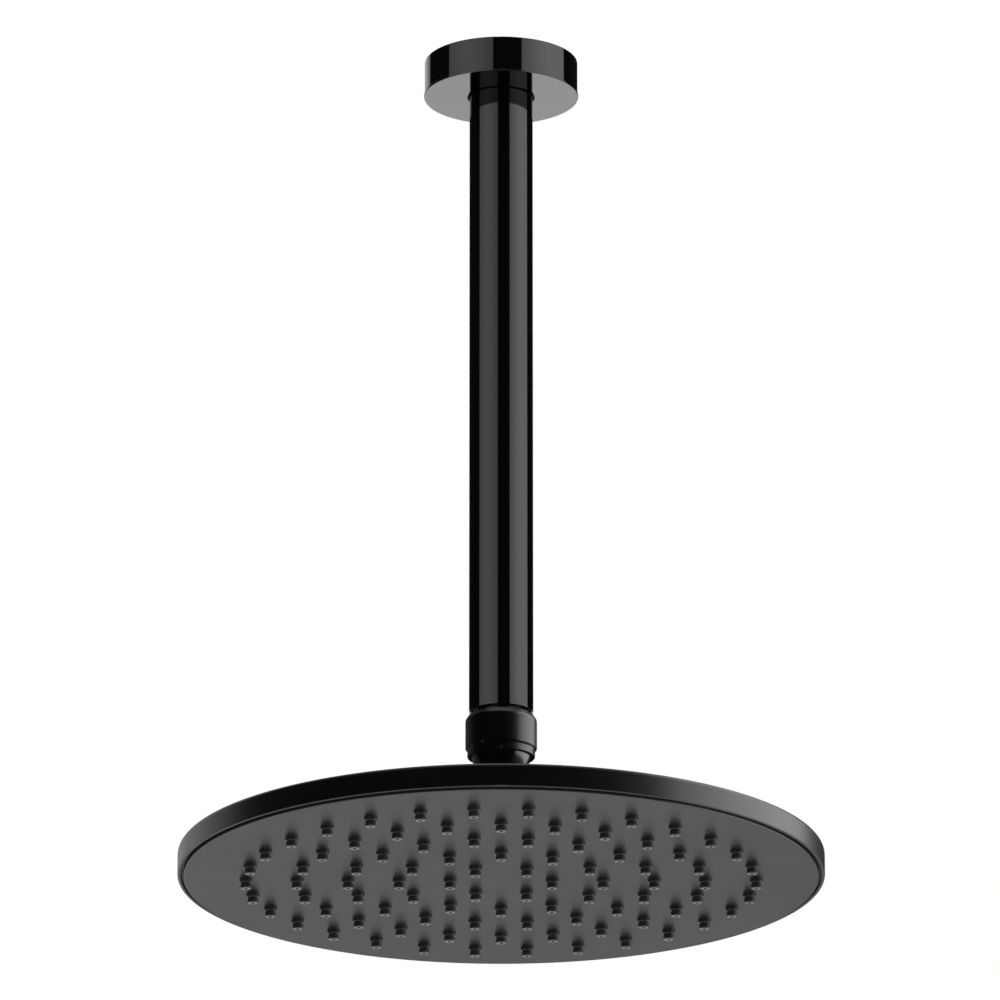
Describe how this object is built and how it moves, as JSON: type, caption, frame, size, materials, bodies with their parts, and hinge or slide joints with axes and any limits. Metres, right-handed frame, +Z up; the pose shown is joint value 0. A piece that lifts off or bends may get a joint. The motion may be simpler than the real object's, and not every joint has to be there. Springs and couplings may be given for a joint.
{
  "type": "ceiling rain shower",
  "caption": "Ceiling-mounted rain shower: straight threaded arm, sliding round cover flange, ball-jointed swivel nut and a wide flat round head with rings of soft nozzles.",
  "frame": {"origin": "centre of the arm's shoulder under its pipe thread, which meets the face of the ceiling fitting, 9.3 mm below the finished ceiling", "axes": "+Z up into the ceiling along the thread; the arm and head hang along -Z; +X is to the right and the front view looks along +Y"},
  "size_m": [0.25, 0.25, 0.3476],
  "materials": {
    "gloss_black": "high-gloss black plating on brass tube",
    "satin_black": "satin black coating, fine grain",
    "satin_face": "satin black face with fine brushed grain",
    "black_plated_brass": "black-plated turned brass",
    "bare_brass": "turned brass, unplated",
    "nozzle_silicone": "dark moulded silicone",
    "seal_rubber": "black moulded rubber",
    "acetal": "white acetal",
    "stainless": "plain stainless steel"
  },
  "bodies": {
    "arm": {"arm_tube": "gloss_black", "inlet_spigot": "bare_brass", "inlet_ring": "seal_rubber", "outlet_spigot": "black_plated_brass", "flow_regulator": "acetal", "regulator_ring": "seal_rubber"},
    "flange": {"ceiling_flange": "gloss_black", "flange_grip_ring": "seal_rubber"},
    "swivel": {"swivel_nut": "satin_black", "nut_insert": "black_plated_brass", "ball_seat": "acetal", "strainer_washer": "seal_rubber", "strainer_mesh": "stainless"},
    "ball": {"ball_stud": "black_plated_brass", "stem_rings": "seal_rubber", "thrust_washer": "acetal", "stem_nut": "bare_brass"},
    "head": {"head_boss": "satin_black", "back_shell": "satin_black", "face_plate": "satin_face", "rim_seal": "seal_rubber", "nozzle_mat": "nozzle_silicone", "backing_plate": "stainless", "weld_studs": "stainless", "stud_nuts": "stainless"}
  },
  "joints": [
    {"name": "flange_slide", "type": "slide", "parent": "arm", "child": "flange", "axis": [0, 0, -1], "range_m": [0, 0.25]},
    {"name": "nut_turn", "type": "hinge", "parent": "arm", "child": "swivel", "pos_m": [0, 0, -0.2755], "axis": [0, 0, 1], "continuous": true},
    {"name": "head_tilt", "type": "hinge", "parent": "swivel", "child": "ball", "pos_m": [0, 0, -0.2755], "axis": [1, 0, 0], "range_deg": [-12, 12]},
    {"name": "head_spin", "type": "hinge", "parent": "ball", "child": "head", "pos_m": [0, 0, -0.2755], "axis": [0, 0, 1], "continuous": true}
  ]
}
